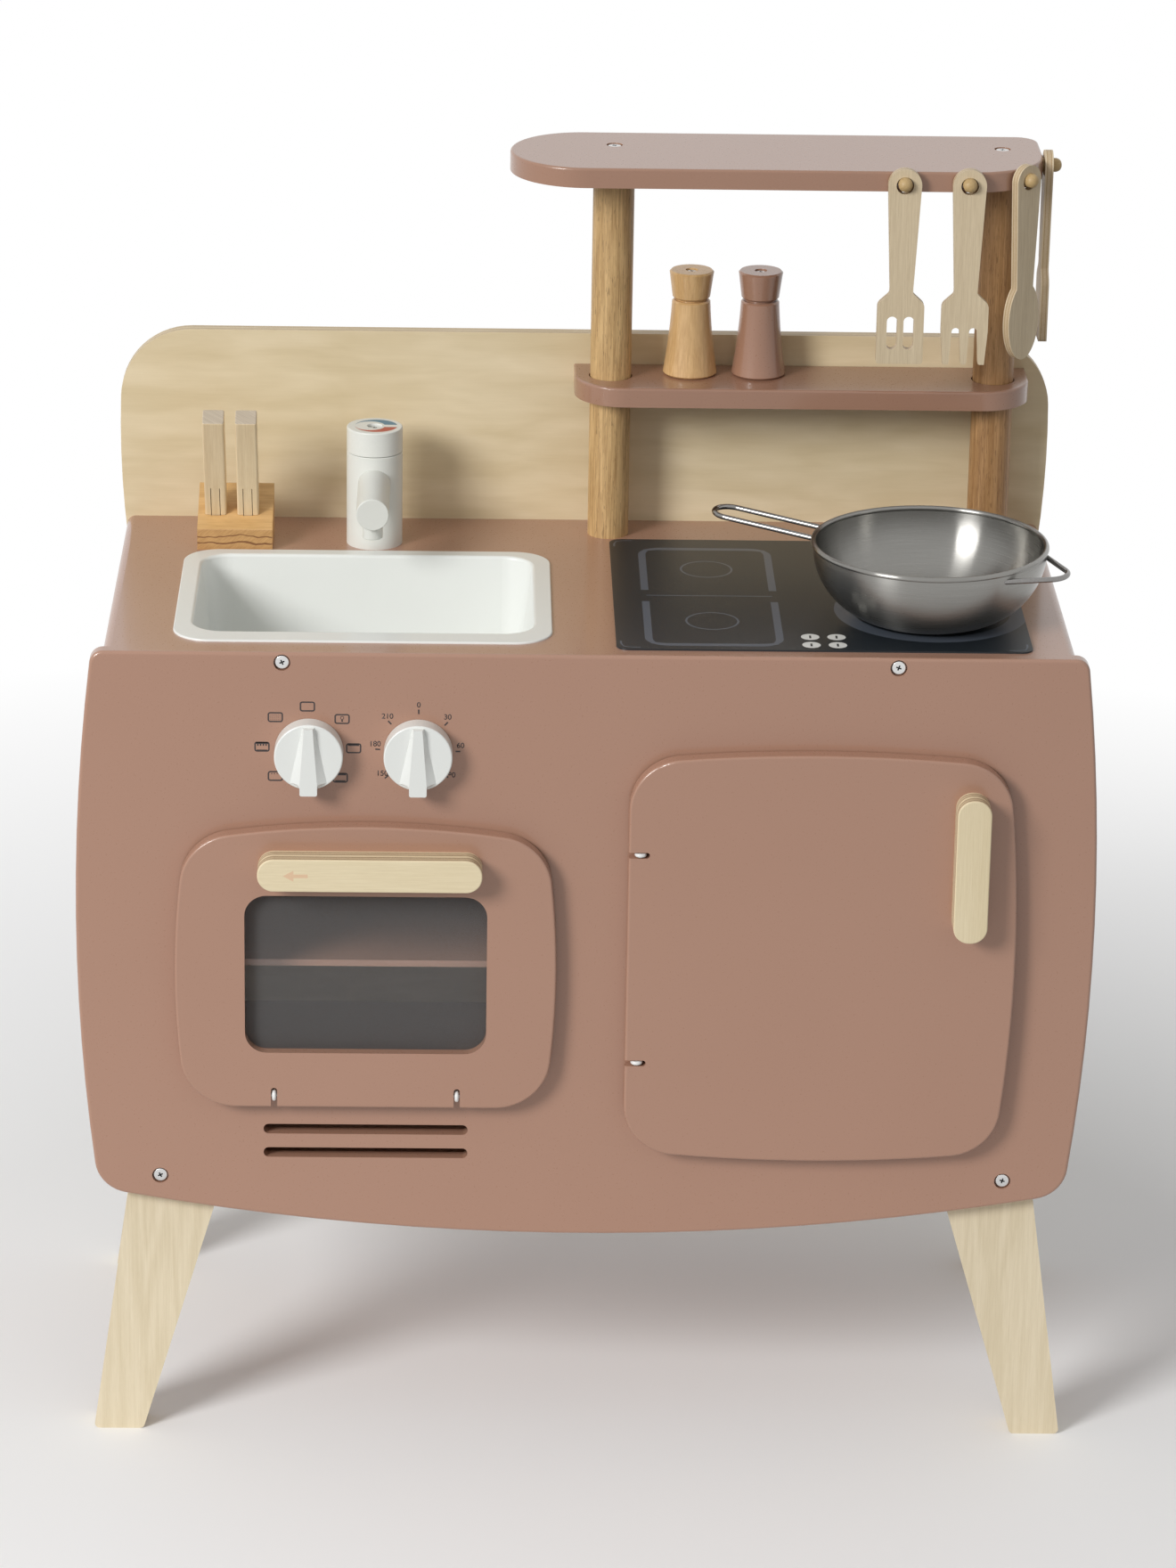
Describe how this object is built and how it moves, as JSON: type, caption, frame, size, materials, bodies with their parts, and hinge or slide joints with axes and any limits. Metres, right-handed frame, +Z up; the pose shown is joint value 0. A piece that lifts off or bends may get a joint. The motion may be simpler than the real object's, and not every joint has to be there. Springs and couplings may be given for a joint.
{
  "type": "play kitchen",
  "caption": "Freestanding toy kitchen on splayed legs with an oven, a cupboard, a sink, a hob and a raised shelf with hanging utensils.",
  "frame": {"origin": "on the floor under the middle of the overall width and depth", "axes": "+X to the right as seen from the front, +Y from the front to the back, +Z up"},
  "size_m": [0.6, 0.2916, 0.752],
  "materials": {
    "painted_board": "satin paint",
    "pale_plywood": "clear matt varnish",
    "solid_wood": "clear matt varnish",
    "warm_wood": "clear matt varnish",
    "white_plastic": "moulded gloss",
    "white_paint": "satin paint",
    "dark_print": "printed satin sheet",
    "clear_pane": "clear hazy pane",
    "screw_steel": "plated",
    "hinge_wire": "plated white",
    "pan_steel": "brushed"
  },
  "bodies": {
    "cabinet": {"front_plate": "painted_board", "counter_top": "painted_board", "side_panel_left": "painted_board", "side_panel_right": "painted_board", "bottom_panel": "painted_board", "divider_panel": "painted_board", "back_panel": "pale_plywood", "oven_shelf": "painted_board", "leg_front_left": "solid_wood", "leg_front_right": "solid_wood", "leg_rear_left": "solid_wood", "leg_rear_right": "solid_wood", "sink_basin": "white_plastic", "hob_plate": "dark_print", "post_left": "warm_wood", "post_right": "warm_wood", "mid_shelf": "painted_board", "top_shelf": "painted_board", "utensil_pegs": "solid_wood", "tap_body": "white_paint", "tap_spout": "white_paint", "tap_nozzle": "white_paint", "tap_screw": "screw_steel", "knife_block": "warm_wood", "hinge_eyes": "hinge_wire", "door_magnets": "screw_steel", "counterbore_screws": "screw_steel", "panel_screws": "screw_steel"},
    "oven_door": {"oven_door": "painted_board", "oven_window": "clear_pane", "oven_handle": "pale_plywood", "oven_door_screws": "screw_steel", "oven_hinge_pins": "screw_steel"},
    "cupboard_door": {"cupboard_door": "painted_board", "cupboard_handle": "pale_plywood", "cupboard_door_screws": "screw_steel", "cupboard_hinge_pins": "screw_steel"},
    "knob_left": {"knob_left": "white_plastic", "knob_left_screw": "screw_steel"},
    "knob_right": {"knob_right": "white_plastic", "knob_right_screw": "screw_steel"},
    "tap_cap": {"tap_cap": "white_paint"},
    "knife_left": {"knife_left_handle": "warm_wood", "knife_left_blade": "warm_wood"},
    "knife_right": {"knife_right_handle": "warm_wood", "knife_right_blade": "warm_wood"},
    "shaker_natural": {"shaker_natural_body": "warm_wood", "shaker_natural_screw": "screw_steel"},
    "shaker_natural_cap": {"shaker_natural_cap": "warm_wood"},
    "shaker_painted": {"shaker_painted_body": "painted_board", "shaker_painted_screw": "screw_steel"},
    "shaker_painted_cap": {"shaker_painted_cap": "painted_board"},
    "pan": {"pan_bowl": "pan_steel", "pan_handle": "pan_steel", "pan_helper_handle": "pan_steel"},
    "turner": {"utensil_turner": "pale_plywood"},
    "fork": {"utensil_fork": "pale_plywood"},
    "spoon": {"utensil_spoon": "pale_plywood"},
    "spatula": {"utensil_spatula": "pale_plywood"}
  },
  "joints": [
    {"name": "oven_door_hinge", "type": "hinge", "parent": "cabinet", "child": "oven_door", "pos_m": [-0.1295, -0.12805, 0.2295], "axis": [1, 0, 0], "range_deg": [0, 90]},
    {"name": "cupboard_door_hinge", "type": "hinge", "parent": "cabinet", "child": "cupboard_door", "pos_m": [0.0308, -0.12805, 0.31845], "axis": [0, 0, -1], "range_deg": [0, 95]},
    {"name": "knob_left_turn", "type": "hinge", "parent": "cabinet", "child": "knob_left", "pos_m": [-0.16295, -0.12025, 0.444], "axis": [0, -1, 0], "continuous": true},
    {"name": "knob_right_turn", "type": "hinge", "parent": "cabinet", "child": "knob_right", "pos_m": [-0.09945, -0.12025, 0.444], "axis": [0, -1, 0], "continuous": true},
    {"name": "tap_cap_turn", "type": "hinge", "parent": "cabinet", "child": "tap_cap", "pos_m": [-0.1288, 0.08925, 0.57], "axis": [0, 0, 1], "continuous": true},
    {"name": "knife_left_pull", "type": "slide", "parent": "cabinet", "child": "knife_left", "axis": [0, -0.4331, 0.9013], "range_m": [0, 0.06]},
    {"name": "knife_right_pull", "type": "slide", "parent": "cabinet", "child": "knife_right", "axis": [0, -0.4331, 0.9013], "range_m": [0, 0.06]},
    {"name": "shaker_natural_lift", "type": "slide", "parent": "cabinet", "child": "shaker_natural", "axis": [0, 0, 1], "range_m": [0, 0.05]},
    {"name": "shaker_natural_cap_turn", "type": "hinge", "parent": "shaker_natural", "child": "shaker_natural_cap", "pos_m": [0.063, 0.11825, 0.66], "axis": [0, 0, 1], "continuous": true},
    {"name": "shaker_painted_lift", "type": "slide", "parent": "cabinet", "child": "shaker_painted", "axis": [0, 0, 1], "range_m": [0, 0.05]},
    {"name": "shaker_painted_cap_turn", "type": "hinge", "parent": "shaker_painted", "child": "shaker_painted_cap", "pos_m": [0.105, 0.11825, 0.66], "axis": [0, 0, 1], "continuous": true},
    {"name": "pan_lift", "type": "slide", "parent": "cabinet", "child": "pan", "axis": [0, 0, 1], "range_m": [0, 0.06]},
    {"name": "turner_unhook", "type": "slide", "parent": "cabinet", "child": "turner", "axis": [0, -1, 0], "range_m": [0, 0.03]},
    {"name": "fork_unhook", "type": "slide", "parent": "cabinet", "child": "fork", "axis": [0, -1, 0], "range_m": [0, 0.03]},
    {"name": "spoon_unhook", "type": "slide", "parent": "cabinet", "child": "spoon", "axis": [0.6691, -0.7431, 0], "range_m": [0, 0.03]},
    {"name": "spatula_unhook", "type": "slide", "parent": "cabinet", "child": "spatula", "axis": [1, 0, 0], "range_m": [0, 0.03]}
  ]
}
